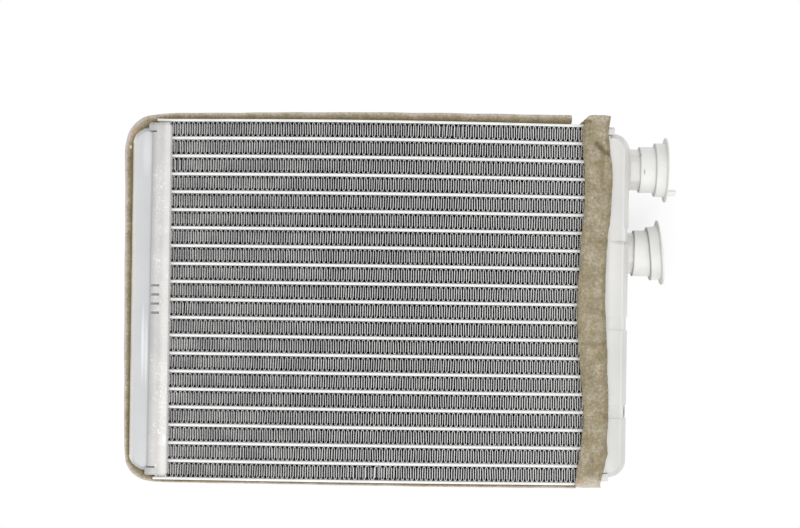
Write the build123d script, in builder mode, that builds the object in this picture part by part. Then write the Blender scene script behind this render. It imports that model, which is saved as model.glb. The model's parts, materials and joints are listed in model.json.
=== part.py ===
from build123d import *
import math
import os

# Heater core of a car's cabin heater: a brazed stack of flat tubes and folded fins between
# two header plates, each closed by a drawn tank. The right tank carries two coolant
# connectors, and soft foam seals run round the edge and over the right header.
# It lies on its back: +X runs along the tubes towards the connectors, +Y up the stack of
# tubes and +Z out of the front face. All sizes are in millimetres.

# Matrix of tubes and fins
tube_count = 19
tube_pitch = 7.8
tube_depth = 26.0
tube_thickness = 1.4
tube_wall = 0.3
tube_nose = 0.4  # bevel on the tube's two narrow sides
tube_reach = 2.0  # how far a tube stands past the header's web, inside the tank
matrix_length = 182.4  # clear length of the matrix between the two header plates
fin_thickness = 0.3
fin_bends = 32
fin_end_clearance = 0.4
braze_gap = 0.05

# Side plates above and below the stack
plate_thickness = 1.2
plate_overlap = 6.2  # how far a side plate reaches over each header

# Header plates: shallow trays that hold the tube ends and clasp the tanks
header_margin = 3.0  # how far a header plate stands past the tubes, front and back
header_end_gap = 1.0  # between a header plate's ends and the side plates
header_wall = 1.5
header_web = 1.5
header_flange = 8.2  # from the web's matrix side to the flange's free edge
header_corner = 2.0
header_bend = 0.8
lug_reach = 1.9  # how far the end lugs stand past the flange's free edge
lug_height = 3.2  # measured inwards from the tray's end
slit_length = 3.2
slit_width = 0.6

# Staking slits in the front flange of the left header
stake_count = 4
stake_pitch = 2.8
stake_centre_y = 2.4
stake_length = 4.2
stake_width = 0.7

# Tanks: drawn pans with rounded corners
tank_reach = 17.0  # from the web's matrix side to the tank's outer wall
tank_wall = 1.2
tank_corner = 7.5
tank_bevel = 2.2

# Pressed grooves round the right tank
groove_width = 6.0
groove_depth = 0.6
groove_pitch = 38.4
groove_first_y = 30.6
groove_count = 3
groove_start = 4.0  # distance from the tank's rim, clear of the tube ends

# Baffle that parts the right tank between the connectors
baffle_thickness = 1.2
baffle_row = 4.5  # number of tube pitches from the middle of the stack up to the baffle

# Collars drawn from the right tank, and the connectors brazed onto them
collar_radius = 9.05
collar_wall = 1.15
upper_y = 59.7
lower_y = 22.9
upper_neck = 4.6  # length of collar that shows between the tank and the connector
lower_neck = 2.5
pad_height = 0.9  # swelling of the tank round the upper collar
pad_radius = 10.3
pad_spread = 1.1
connector_wall = 1.0
sleeve_length = 6.8
bell_radius = 11.8
socket_depth = 5.0
lip_radius = 14.2
lip_thickness = 1.4
collar_setback = 1.0  # the collar stops this far short of the bell's socket
lower_tilt = 6.5  # degrees that the lower bell is bent up towards the upper one
tongue_length = 3.4
tongue_width = 3.0
tongue_thickness = 1.1
tongue_angle = 142.0  # from the top of the lip round towards the front

# Foam strip round the left tank and along both side plates
strip_clearance = 8.2  # the strip stops this far short of the right header
strip_top_thickness = 3.9
strip_top_left_thickness = 2.0
strip_left_thickness = 3.3
strip_left_low_thickness = 1.4
strip_bottom_thickness = 0.6
strip_outer_corner = 16.0
strip_low_corner = 12.8

# Foam band wrapped round the right header
band_back = 3.0
band_front = 3.4
band_edge = 2.0
band_top_thickness = 3.9
band_bottom_thickness = 0.7
band_corner = 5.0  # how far the rounding of the top left corner reaches along the top
band_seat = 0.1
# The band's two wavy edges, from top to bottom: each point's distance from the header's web,
# and its height as a part of the header's half height
band_left = [(-4.3, 1.01), (-2.5, 0.66), (-5.1, 0.08), (-2.1, -0.44), (-1.8, -0.67), (-4.1, -0.92)]
band_right = [(7.6, 0.93), (8.5, 0.65), (6.7, 0.05), (8.1, -0.49), (7.4, -0.85), (6.1, -0.98)]

# Sizes worked out from the ones above
half_matrix = matrix_length / 2
fin_height = tube_pitch - tube_thickness
top_tube_y = tube_pitch * (tube_count - 1) / 2
plate_inner_y = top_tube_y + tube_thickness / 2 + fin_height
plate_outer_y = plate_inner_y + plate_thickness
header_half_height = plate_inner_y - header_end_gap
header_depth = tube_depth + 2 * header_margin
header_back_z = band_back
header_front_z = header_back_z + header_depth
middle_z = header_back_z + header_depth / 2
tube_length = matrix_length + 2 * (header_web + tube_reach)
tray_depth = header_flange + lug_reach
strip_depth = middle_z + tube_depth / 2  # the strip's front edge is level with the tubes'
pan_half_height = header_half_height - header_wall - braze_gap
pan_depth = header_depth - 2 * (header_wall + braze_gap)
pan_rim_x = half_matrix + header_web + braze_gap
tank_outer_x = half_matrix + tank_reach
baffle_y = baffle_row * tube_pitch
inner_bevel = tank_bevel - (2 - math.sqrt(2)) * tank_wall  # keeps the wall even
sleeve_bore = collar_radius + braze_gap
sleeve_radius = sleeve_bore + connector_wall
socket_radius = bell_radius - connector_wall
shoulder_x = sleeve_length + connector_wall
connector_length = shoulder_x + socket_depth
upper_root_x = tank_outer_x + upper_neck
lower_root_x = tank_outer_x + lower_neck

# The origin lies under the middle of the whole part's box
right_reach = upper_root_x + connector_length + tongue_length
left_reach = tank_outer_x + strip_left_thickness
top_reach = plate_outer_y + braze_gap + band_top_thickness
bottom_reach = plate_outer_y + braze_gap + band_bottom_thickness
core_x = (left_reach - right_reach) / 2
core_y = (bottom_reach - top_reach) / 2


def plan(z):
    """Plane facing the front, at height z, with its origin at the middle of the matrix."""
    return Plane(origin=(core_x, core_y, z))


def across(x):
    """Plane square to the tubes: its own x is up the stack and its own y is the depth."""
    return Plane(origin=(core_x + x, core_y, 0), x_dir=(0, 1, 0), z_dir=(1, 0, 0))


def along(y):
    """Plane square to the stack: its own x is along the tubes and its own y is the depth."""
    return Plane(origin=(core_x, core_y + y, 0), x_dir=(1, 0, 0), z_dir=(0, -1, 0))


def bell_plane(x, y, tilt):
    """Plane square to a connector's bell, at the shoulder that its socket ends on."""
    turn = math.radians(tilt)
    return Plane(
        origin=(core_x + x, core_y + y, middle_z),
        x_dir=(math.sin(turn), math.cos(turn), 0),
        z_dir=(math.cos(turn), -math.sin(turn), 0),
    )


os.makedirs("parts", exist_ok=True)

# Flat tubes, open at both ends
for index in range(tube_count):
    tube_y = top_tube_y - index * tube_pitch
    with BuildPart() as tube:
        with BuildSketch(across(-tube_length / 2)) as section:
            with Locations((tube_y, middle_z)):
                Rectangle(tube_thickness, tube_depth)
                chamfer(section.vertices(), tube_nose)
                Rectangle(
                    tube_thickness - 2 * tube_wall,
                    tube_depth - 4 * tube_wall,
                    mode=Mode.SUBTRACT,
                )
        extrude(amount=tube_length)
    tube.part.label = f"tube_{index + 1:02d}"
    export_step(tube.part, f"parts/{tube.part.label}.step")

# Fins: one strip per row, folded back and forth between its two neighbours
fin_step = (matrix_length - 2 * fin_end_clearance) / fin_bends
leg_angle = math.atan2(fin_step, fin_height)
fold_height = fin_thickness / math.sin(leg_angle)
fold_reach = (fin_height - fold_height) / 2 - braze_gap
for index in range(tube_count + 1):
    row_y = top_tube_y + tube_pitch / 2 - index * tube_pitch
    upper_edge = []
    lower_edge = []
    for bend in range(fin_bends + 1):
        bend_x = -half_matrix + fin_end_clearance + bend * fin_step
        bend_y = row_y + fold_reach * (-1) ** bend
        upper_edge.append((bend_x, bend_y + fold_height / 2))
        lower_edge.append((bend_x, bend_y - fold_height / 2))
    with BuildPart() as fin:
        with BuildSketch(plan(middle_z - tube_depth / 2)):
            with BuildLine():
                Polyline(*upper_edge, *reversed(lower_edge), close=True)
            make_face()
        extrude(amount=tube_depth)
    fin.part.label = f"fin_{index + 1:02d}"
    export_step(fin.part, f"parts/{fin.part.label}.step")

# Side plates, which close the stack and reach over the ends of both headers
for label, side in (("side_plate_top", 1), ("side_plate_bottom", -1)):
    with BuildPart() as side_plate:
        with BuildSketch(along(side * (plate_inner_y + plate_thickness / 2))):
            with Locations((0, middle_z)):
                Rectangle(matrix_length + 2 * plate_overlap, tube_depth)
        extrude(amount=plate_thickness / 2, both=True)
    side_plate.part.label = label
    export_step(side_plate.part, f"parts/{label}.step")

# Header plates, each a tray that opens away from the matrix
for label, side in (("header_left", -1), ("header_right", 1)):
    web_x = side * half_matrix
    with BuildPart() as header:
        with BuildSketch(plan(header_back_z)):
            with Locations((web_x + side * tray_depth / 2, 0)):
                Rectangle(tray_depth, 2 * header_half_height)
        extrude(amount=header_depth)
        fillet(header.edges().filter_by(Axis.Z).sort_by(Axis.X)[::side][:2], header_corner)
        web_face = header.faces().filter_by(Axis.X).sort_by(Axis.X)[::side][0]
        chamfer(web_face.edges(), header_bend)
        with BuildSketch(plan(header_back_z + header_wall)):
            with Locations((web_x + side * (header_web + tray_depth) / 2, 0)):
                Rectangle(tray_depth - header_web, 2 * (header_half_height - header_wall))
        extrude(amount=header_depth - 2 * header_wall, mode=Mode.SUBTRACT)
        # Free edge of the front and back flanges, and the slits beside the end lugs
        with BuildSketch(plan(header_back_z)):
            with Locations((web_x + side * (header_flange + lug_reach / 2), 0)):
                Rectangle(lug_reach, 2 * (header_half_height - lug_height))
            slit_x = web_x + side * (header_flange - slit_length / 2)
            slit_y = header_half_height - lug_height - slit_width / 2
            with Locations((slit_x, slit_y), (slit_x, -slit_y)):
                Rectangle(slit_length, slit_width)
        extrude(amount=header_depth, mode=Mode.SUBTRACT)
        # One slot through the web for each tube
        with BuildSketch(across(web_x)) as slots:
            with Locations((0, middle_z)):
                with GridLocations(tube_pitch, 0, tube_count, 1):
                    Rectangle(tube_thickness + 2 * braze_gap, tube_depth + 2 * braze_gap)
            chamfer(slots.vertices(), tube_nose)
        extrude(amount=side * header_web, mode=Mode.SUBTRACT)
        if side == -1:
            with BuildSketch(plan(header_front_z)):
                with Locations((web_x - header_flange + stake_length / 2, stake_centre_y)):
                    with GridLocations(0, stake_pitch, 1, stake_count):
                        Rectangle(stake_length, stake_width)
            extrude(amount=-header_wall, mode=Mode.SUBTRACT)
    header.part.label = label
    export_step(header.part, f"parts/{label}.step")


def pan_block(side, inset, grooves):
    """Solid form of a tank, taken in all round by inset, with its grooves pressed in."""
    bevel = tank_bevel if inset == 0 else inner_bevel
    reach = tank_outer_x - inset - pan_rim_x
    half_height = pan_half_height - inset
    depth = pan_depth - 2 * inset
    with BuildPart() as block:
        with BuildSketch(plan(middle_z - depth / 2)):
            with Locations((side * (pan_rim_x + reach / 2), 0)):
                Rectangle(reach, 2 * half_height)
        extrude(amount=depth)
        outer_edges = block.edges().filter_by(Axis.Z).sort_by(Axis.X)[::-side][:2]
        fillet(outer_edges, tank_corner - inset)
        rims = block.faces().filter_by(Axis.Z)
        rim_x = core_x + side * pan_rim_x
        bent_edges = rims.edges().filter_by(lambda edge: abs(edge.center().X - rim_x) > braze_gap)
        chamfer(bent_edges, bevel)
        # Each groove is cut by a frame-shaped tool that is open towards the rim
        tool_length = reach - groove_start + inset
        tool_end = pan_rim_x + reach + groove_depth
        floor_end = pan_rim_x + reach - groove_depth
        for groove_y in grooves:
            with BuildSketch(along(groove_y)):
                with Locations((side * (tool_end - tool_length / 2), middle_z)):
                    Rectangle(tool_length, depth + 2 * groove_depth)
                with Locations((side * (floor_end - tool_length / 2), middle_z)):
                    Rectangle(tool_length, depth - 2 * groove_depth, mode=Mode.SUBTRACT)
            extrude(amount=groove_width / 2, both=True, mode=Mode.SUBTRACT)
    return block.part


groove_places = [groove_first_y - index * groove_pitch for index in range(groove_count)]

# Left tank: a plain pan
with BuildPart() as tank_left:
    add(pan_block(-1, 0, []))
    add(pan_block(-1, tank_wall, []), mode=Mode.SUBTRACT)
tank_left.part.label = "tank_left"
export_step(tank_left.part, "parts/tank_left.step")

# Right tank: a pan with pressed grooves and two drawn collars
collars = (
    (upper_y, upper_root_x + shoulder_x - collar_setback),
    (lower_y, lower_root_x + shoulder_x - collar_setback),
)
with BuildPart() as tank_right:
    add(pan_block(1, 0, groove_places))
    with BuildSketch(across(tank_outer_x)):
        with Locations((upper_y, middle_z)):
            Circle(pad_radius + pad_spread)
    with BuildSketch(across(tank_outer_x + pad_height)):
        with Locations((upper_y, middle_z)):
            Circle(pad_radius)
    loft()
    for collar_y, collar_end in collars:
        with BuildSketch(across(tank_outer_x - tank_wall)):
            with Locations((collar_y, middle_z)):
                Circle(collar_radius)
        extrude(amount=collar_end - tank_outer_x + tank_wall)
    add(pan_block(1, tank_wall, groove_places), mode=Mode.SUBTRACT)
    for collar_y, collar_end in collars:
        with BuildSketch(across(collar_end)):
            with Locations((collar_y, middle_z)):
                Circle(collar_radius - collar_wall)
        extrude(amount=tank_outer_x - 2 * tank_wall - collar_end, mode=Mode.SUBTRACT)
tank_right.part.label = "tank_right"
export_step(tank_right.part, "parts/tank_right.step")

# Baffle inside the right tank, between the two collars
with BuildPart() as baffle:
    baffle_reach = tank_outer_x - tank_wall - braze_gap - pan_rim_x
    with BuildSketch(along(baffle_y)):
        with Locations((pan_rim_x + baffle_reach / 2, middle_z)):
            Rectangle(baffle_reach, pan_depth - 2 * (tank_wall + braze_gap))
    extrude(amount=baffle_thickness / 2, both=True)
    chamfer(baffle.edges().filter_by(Axis.Y).sort_by(Axis.X)[-2:], inner_bevel)
baffle.part.label = "baffle"
export_step(baffle.part, "parts/baffle.step")

# Coolant connectors: a sleeve over the collar, a wider bell and an outturned lip
connectors = (
    ("connector_upper", upper_root_x, upper_y, 0.0),
    ("connector_lower", lower_root_x, lower_y, -lower_tilt),
)
for label, root_x, axis_y, tilt in connectors:
    # A bent bell's shoulder slants, so the sleeve and its bore run on to its far side
    reach = shoulder_x + socket_radius * math.sin(math.radians(abs(tilt)))
    shoulder = bell_plane(root_x + shoulder_x, axis_y, tilt)
    with BuildPart() as connector:
        with BuildSketch(across(root_x)):
            with Locations((axis_y, middle_z)):
                Circle(sleeve_radius)
        extrude(amount=reach)
        with BuildSketch(shoulder.offset(-connector_wall)):
            Circle(bell_radius)
        extrude(amount=connector_wall + socket_depth)
        with BuildSketch(shoulder.offset(socket_depth - lip_thickness)):
            Circle(lip_radius)
        extrude(amount=lip_thickness)
        if tilt == 0:
            with BuildSketch(across(root_x + connector_length)):
                with Locations((axis_y, middle_z)):
                    with PolarLocations(lip_radius - tongue_thickness, 1, tongue_angle):
                        Rectangle(tongue_thickness, tongue_width)
            extrude(amount=tongue_length)
        with BuildSketch(shoulder):
            Circle(socket_radius)
        extrude(amount=socket_depth, mode=Mode.SUBTRACT)
        with BuildSketch(across(root_x)):
            with Locations((axis_y, middle_z)):
                Circle(sleeve_bore)
        extrude(amount=reach, mode=Mode.SUBTRACT)
    connector.part.label = label
    export_step(connector.part, f"parts/{label}.step")

# Foam strip, squashed thin at the lower left corner and along the bottom. Its inner side goes
# round the side plates' ends, straight to the header's lug and on round the tank's corner.
strip_end = half_matrix - strip_clearance
strip_top_y = plate_outer_y + braze_gap
strip_left_x = tank_outer_x + braze_gap
plate_end_x = half_matrix + plate_overlap + braze_gap
lug_x = half_matrix + tray_depth + braze_gap
lug_y = header_half_height + braze_gap
inner_corner = tank_corner + braze_gap
corner_y = pan_half_height - tank_corner
lug_run = lug_x - (tank_outer_x - tank_corner)
lug_rise = lug_y - corner_y
lug_angle = math.atan2(lug_rise, lug_run)
wrap_angle = lug_angle - math.acos(inner_corner / math.hypot(lug_run, lug_rise))
bend_y = corner_y + inner_corner * math.tan(wrap_angle / 2)
with BuildPart() as foam_strip:
    with BuildSketch(plan(0)):
        with BuildLine():
            FilletPolyline(
                (strip_end, strip_top_y + strip_top_thickness),
                (-strip_left_x - strip_left_thickness, strip_top_y + strip_top_left_thickness),
                (-strip_left_x - strip_left_low_thickness, -strip_top_y - strip_bottom_thickness),
                (strip_end, -strip_top_y - strip_bottom_thickness),
                radius=[strip_outer_corner, strip_low_corner],
            )
            FilletPolyline(
                (-lug_x, lug_y),
                (-strip_left_x, bend_y),
                (-strip_left_x, -bend_y),
                (-lug_x, -lug_y),
                radius=inner_corner,
            )
            Polyline(
                (strip_end, strip_top_y + strip_top_thickness),
                (strip_end, strip_top_y),
                (-plate_end_x, strip_top_y),
                (-plate_end_x, lug_y),
                (-lug_x, lug_y),
            )
            Polyline(
                (strip_end, -strip_top_y - strip_bottom_thickness),
                (strip_end, -strip_top_y),
                (-plate_end_x, -strip_top_y),
                (-plate_end_x, -lug_y),
                (-lug_x, -lug_y),
            )
        make_face()
    extrude(amount=strip_depth)
foam_strip.part.label = "foam_strip"
export_step(foam_strip.part, "parts/foam_strip.step")

# Foam band: a loop round the right header with wavy edges
band_depth = header_front_z + band_front
with BuildPart() as foam_band:
    with BuildSketch(plan(0)):
        with BuildLine():
            left_points = [(half_matrix + x, share * header_half_height) for x, share in band_left]
            right_points = [(half_matrix + x, share * header_half_height) for x, share in band_right]
            corner_x, corner_low_y = left_points[0]
            cut = 1 - math.sqrt(0.5)
            top_left = (corner_x + band_corner, top_reach)
            top_right = (right_points[0][0] + band_edge / 2, top_reach)
            bottom_left = (left_points[-1][0], -bottom_reach)
            bottom_right = (right_points[-1][0], -bottom_reach)
            Line(top_right, top_left)
            ThreePointArc(
                top_left,
                (corner_x + cut * band_corner, top_reach - cut * (top_reach - corner_low_y)),
                left_points[0],
            )
            Spline(*left_points, bottom_left)
            Line(bottom_left, bottom_right)
            Spline(bottom_right, *reversed(right_points), top_right)
        make_face()
    extrude(amount=band_depth)
    front_edges = foam_band.faces().sort_by(Axis.Z)[-1].edges()
    chamfer(front_edges.sort_by(SortBy.LENGTH)[-2:], band_edge)
    with BuildSketch(across(half_matrix)):
        with Locations((0, middle_z)):
            Rectangle(2 * strip_top_y, header_depth + 2 * band_seat)
    extrude(amount=tank_reach, both=True, mode=Mode.SUBTRACT)
foam_band.part.label = "foam_band"
export_step(foam_band.part, "parts/foam_band.step")
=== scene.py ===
# %% [markdown]
# # A heater core, dressed for its portrait
# A heater core is a small brazed radiator. This lesson takes its plain CAD part, which packed
# solids give as a fixed frame, and puts finer pieces and real finishes on it. Each new piece sits
# in the space that its CAD solid holds, so the sizes stay the part's own.

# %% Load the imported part
import json
import math

import bmesh
import bpy
from mathutils import Matrix, Vector, noise


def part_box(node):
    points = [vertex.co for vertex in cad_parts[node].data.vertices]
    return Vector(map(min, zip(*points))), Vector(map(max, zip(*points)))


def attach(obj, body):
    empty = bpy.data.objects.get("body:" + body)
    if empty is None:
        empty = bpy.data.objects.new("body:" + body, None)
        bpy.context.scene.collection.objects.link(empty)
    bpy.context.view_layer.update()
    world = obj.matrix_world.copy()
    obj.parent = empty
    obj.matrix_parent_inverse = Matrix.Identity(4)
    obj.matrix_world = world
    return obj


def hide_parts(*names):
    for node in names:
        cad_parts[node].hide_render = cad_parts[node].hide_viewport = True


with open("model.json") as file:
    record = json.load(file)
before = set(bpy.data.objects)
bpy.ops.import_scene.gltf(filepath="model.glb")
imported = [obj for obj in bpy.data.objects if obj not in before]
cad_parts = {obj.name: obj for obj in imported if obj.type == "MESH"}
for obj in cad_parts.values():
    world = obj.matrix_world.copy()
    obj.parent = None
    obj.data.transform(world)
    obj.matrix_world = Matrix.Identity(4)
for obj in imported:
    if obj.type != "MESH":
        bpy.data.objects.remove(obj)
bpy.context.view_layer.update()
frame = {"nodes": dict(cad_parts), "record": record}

nodes = frame["nodes"]
scene = bpy.context.scene
mm = 0.001
print("parts in the frame:", len(nodes))

# %% [markdown]
# ## Places read from the frame
# Numbers typed by hand drift when a part changes. The places of the new pieces are read from the
# boxes of the CAD nodes instead, so that the looks follow the solids.

# %% Read the places of the matrix
tube_names = sorted(name for name in nodes if name.startswith("tube_"))
fin_names = sorted(name for name in nodes if name.startswith("fin_"))
fin_low, fin_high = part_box(fin_names[0])
last_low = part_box(fin_names[-1])[0]
tray_low, tray_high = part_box("header_left")
right_tray_low, right_tray_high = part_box("header_right")
plate_left, plate_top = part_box("side_plate_top")[0].x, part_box("side_plate_top")[1].y
plate_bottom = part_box("side_plate_bottom")[0].y
front_z, back_z = fin_high.z, fin_low.z
matrix_left, matrix_right = tray_high.x, right_tray_low.x
core_x = (matrix_left + matrix_right) / 2
core_y = (fin_high.y + last_low.y) / 2
stack_half = (fin_high.y - last_low.y) / 2
row_height = fin_high.y - fin_low.y
# places closer together than this count as the same
play = 0.05 * mm
# braze makes the left web this much thicker, and the rows of fins start behind it
web_growth = 0.5 * mm
row_left = matrix_left + web_growth
print("matrix mm:", round((matrix_right - matrix_left) / mm, 1), round(2 * stack_half / mm, 1))

# %% [markdown]
# ## Small tools of the trade
# Every new piece is handed over in the same way: put into the scene, given its finish, told
# which body it rides on, and the CAD node it stands for is hidden. Helpers do that for all of them.

# %% Helpers that hand a piece over
def put_in_scene(name, edit, smooth=False):
    """A new object called name from the bmesh edit, which is used up."""
    mesh = bpy.data.meshes.new(name)
    edit.to_mesh(mesh)
    edit.free()
    for face in mesh.polygons:
        face.use_smooth = smooth
    piece = bpy.data.objects.new(name, mesh)
    scene.collection.objects.link(piece)
    return piece


def hand_over(piece, finish, node):
    """Gives a piece its finish and its body, and hides the CAD node it replaces."""
    piece.data.materials.clear()
    piece.data.materials.append(finish)
    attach(piece, "root")
    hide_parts(node)
    return piece


def merged_copy(node):
    """A bmesh of a CAD node with its loose triangles joined and its flat faces made whole."""
    edit = bmesh.new()
    edit.from_mesh(nodes[node].data)
    bmesh.ops.remove_doubles(edit, verts=edit.verts, dist=1e-7)
    flat = math.radians(1.0)
    bmesh.ops.dissolve_limit(edit, angle_limit=flat, verts=edit.verts, edges=edit.edges)
    return edit


along_x, along_z = Vector((1, 0, 0)), Vector((0, 0, 1))


def cut_across(edit, axis, places):
    """Cuts the whole mesh at each place along an axis, so that it can bend there."""
    for place in places:
        everything = edit.verts[:] + edit.edges[:] + edit.faces[:]
        bmesh.ops.bisect_plane(edit, geom=everything, plane_co=axis * place, plane_no=axis)


def evenly(start, stop, count):
    """That many places from start to stop, both ends included."""
    return [start + (stop - start) * index / (count - 1) for index in range(count)]


# %% [markdown]
# ## Finishes
# Brazed aluminium is no mirror. It leaves the furnace a soft silver white, slightly wavy, with
# dried flux on it as pale crystals. Many metal pieces share that, so it is a node group, and each
# finish sets its own scale and strength. Colours are written as a screen shows them.

# %% Node helpers
def paint(red, green, blue):
    """A colour as nodes want it, from the 0 to 255 values of a screen."""
    return (*(((part / 255 + 0.055) / 1.055) ** 2.4 for part in (red, green, blue)), 1.0)


def set_up(tree, node, **settings):
    """Sets a node up: a setting gives the input of that label a value or a link, or else it is
    a property of the node."""
    for key, value in settings.items():
        label = key.replace("_", " ")
        if label not in node.inputs.keys():
            setattr(node, key, value)
        elif isinstance(value, bpy.types.NodeSocket):
            tree.links.new(value, node.inputs[label])
        else:
            node.inputs[label].default_value = value
    return node


def add_node(tree, kind, **settings):
    """A new shader node of that kind, set up."""
    return set_up(tree, tree.nodes.new("ShaderNode" + kind), **settings)


def remap(tree, source, low, high, to_low=0.0, to_high=1.0):
    """Stretches a value from low..high to to_low..to_high and returns the result's socket."""
    node = add_node(tree, "MapRange", Value=source)
    for index, value in enumerate((low, high, to_low, to_high), start=1):
        node.inputs[index].default_value = value
    return node.outputs["Result"]


def calculate(tree, operation, first, second):
    """A Math node on two sockets or numbers; returns its output."""
    node = add_node(tree, "Math", operation=operation)
    for slot, value in enumerate((first, second)):
        if isinstance(value, (int, float)):
            node.inputs[slot].default_value = value
        else:
            tree.links.new(value, node.inputs[slot])
    return node.outputs[0]


def blend_colours(tree, factor, first, second):
    """Mixes two colours, each a socket or a screen colour, by a mask; returns the colour."""
    node = add_node(tree, "Mix", data_type="RGBA", Factor=factor)
    for label, value in (("A", first), ("B", second)):
        socket = [i for i in node.inputs if i.name == label and i.type == "RGBA"][0]
        if isinstance(value, tuple):
            socket.default_value = paint(*value)
        else:
            tree.links.new(value, socket)
    return [o for o in node.outputs if o.type == "RGBA"][0]


def new_material(name):
    """A material with nodes, its tree and its Principled shader."""
    material = bpy.data.materials.new(name)
    material.use_nodes = True
    return material, material.node_tree, material.node_tree.nodes["Principled BSDF"]


def place_axes(tree, space="Object"):
    """The place on the part, or the way into the sky: its X, Y and Z, and all of it."""
    place = add_node(tree, "TexCoord").outputs[space]
    split = add_node(tree, "SeparateXYZ", Vector=place)
    return {"all": place, **{axis: split.outputs[axis] for axis in "XYZ"}}


# %% Flux group: crystals, cloudy patches and waviness
flux_group = bpy.data.node_groups.new("dried_flux", "ShaderNodeTree")
sockets = {"INPUT": ("Grain", "Cloud", "Cover"), "OUTPUT": ("Crystals", "Patches", "Height")}
for side, labels in sockets.items():
    for label in labels:
        flux_group.interface.new_socket(label, in_out=side, socket_type="NodeSocketFloat")
flux_in = flux_group.nodes.new("NodeGroupInput")
flux_out = flux_group.nodes.new("NodeGroupOutput")
flux_place = add_node(flux_group, "TexCoord").outputs["Object"]
grain = add_node(flux_group, "TexNoise", Vector=flux_place, Detail=4.0, Roughness=0.62)
cloud = add_node(flux_group, "TexNoise", Vector=flux_place, Detail=3.0, Roughness=0.55)
set_up(flux_group, grain, Scale=flux_in.outputs["Grain"])
set_up(flux_group, cloud, Scale=flux_in.outputs["Cloud"])
patches = remap(flux_group, cloud.outputs["Fac"], 0.36, 0.64)
above_cover = calculate(flux_group, "SUBTRACT", grain.outputs["Fac"], flux_in.outputs["Cover"])
crystals = calculate(flux_group, "MULTIPLY", remap(flux_group, above_cover, 0.0, 0.08), patches)
waves = calculate(flux_group, "MULTIPLY", cloud.outputs["Fac"], 3.0)
height = calculate(flux_group, "ADD", waves, grain.outputs["Fac"])
set_up(flux_group, flux_out, Crystals=crystals, Patches=patches, Height=height)
print("sockets of the flux group:", len(flux_group.interface.items_tree))

# %% Brazed aluminium finishes
pale_flux = (250, 249, 246)


def brazed_metal(name, dull, bright, grain, cloud, cover, metallic, roughness, relief):
    """Aluminium from the brazing furnace: dull and bright patches, and flux crystals."""
    material, tree, shader = new_material(name)
    flux = add_node(tree, "Group", node_tree=flux_group, Grain=grain, Cloud=cloud, Cover=cover)
    tone = blend_colours(tree, flux.outputs["Patches"], dull, bright)
    colour = blend_colours(tree, flux.outputs["Crystals"], tone, pale_flux)
    rough = remap(tree, flux.outputs["Crystals"], 0.0, 1.0, roughness, min(roughness + 0.25, 1))
    waves = flux.outputs["Height"]
    bump = add_node(tree, "Bump", Height=waves, Strength=relief, Distance=0.1 * mm)
    set_up(tree, shader, Base_Color=colour, Metallic=metallic, Roughness=rough)
    set_up(tree, shader, Normal=bump.outputs["Normal"])
    return material


tube_finish = brazed_metal(
    "brazed_tube", (250, 250, 250), (255, 255, 255),
    grain=1500, cloud=220, cover=0.5, metallic=0.2, roughness=0.5, relief=0.12,
)
fin_finish = brazed_metal(
    "rolled_fin", (194, 194, 194), (222, 222, 221),
    grain=900, cloud=120, cover=0.58, metallic=0.6, roughness=0.4, relief=0.1,
)
plate_finish = brazed_metal(
    "brazed_side_plate", (236, 236, 234), (250, 250, 248),
    grain=1200, cloud=90, cover=0.5, metallic=0.5, roughness=0.42, relief=0.4,
)
header_finish = brazed_metal(
    "brazed_header", (204, 203, 201), (220, 219, 217),
    grain=700, cloud=60, cover=0.57, metallic=0.4, roughness=0.5, relief=0.6,
)
left_tank_finish = brazed_metal(
    "left_tank", (206, 208, 209), (214, 215, 216),
    grain=600, cloud=30, cover=0.64, metallic=0.45, roughness=0.45, relief=0.3,
)
right_tank_finish = brazed_metal(
    "right_tank", (230, 230, 227), (239, 238, 235),
    grain=600, cloud=35, cover=0.62, metallic=0.4, roughness=0.45, relief=0.35,
)
connector_finish = brazed_metal(
    "drawn_connector", (236, 236, 233), (246, 246, 243),
    grain=800, cloud=70, cover=0.56, metallic=0.12, roughness=0.55, relief=0.35,
)
print("finishes so far:", len(bpy.data.materials))

# %% [markdown]
# Some places of a finish stand out: a rim that the light catches, which gets a painted highlight,
# or a step, which gets a painted shade line. A tint is laid over the finish there, led by a mask,
# and the mask comes from the place on the part or from a number that is stored on the mesh.

# %% Tints over a finish
def tint(material, mask_of, colour):
    """Lays a colour over a finish; mask_of makes the mask from the tree and the place."""
    tree = material.node_tree
    shader = tree.nodes["Principled BSDF"]
    base = shader.inputs["Base Color"].links[0].from_socket
    mask = mask_of(tree, place_axes(tree))
    set_up(tree, shader, Base_Color=blend_colours(tree, mask, base, colour))


def patch(tree, axes, centre, half, soft):
    """A mask that is 1 inside a square patch, in millimetres, and fades to 0 over a soft rim."""
    inside = []
    for axis, middle, reach in zip("XY", centre, half):
        away = calculate(tree, "SUBTRACT", axes[axis], middle * mm)
        away = calculate(tree, "ABSOLUTE", away, 0)
        inside.append(remap(tree, away, reach * mm, (reach + soft) * mm, 1.0, 0.0))
    return calculate(tree, "MINIMUM", *inside)


def oval(tree, axes, centre, half, strength):
    """A mask in the form of a soft oval, strongest in its middle, in millimetres."""
    total = 0.0
    for axis, middle, reach in zip("XY", centre, half):
        away = calculate(tree, "SUBTRACT", axes[axis], middle * mm)
        share = calculate(tree, "DIVIDE", away, reach * mm)
        total = calculate(tree, "ADD", calculate(tree, "MULTIPLY", share, share), total)
    return remap(tree, total, 0.0, 1.0, strength, 0.0)


def mark(material, centre, half, strength, colour):
    """A soft oval mark on a finish."""
    tint(material, lambda tree, axes: oval(tree, axes, centre, half, strength), colour)


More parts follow.
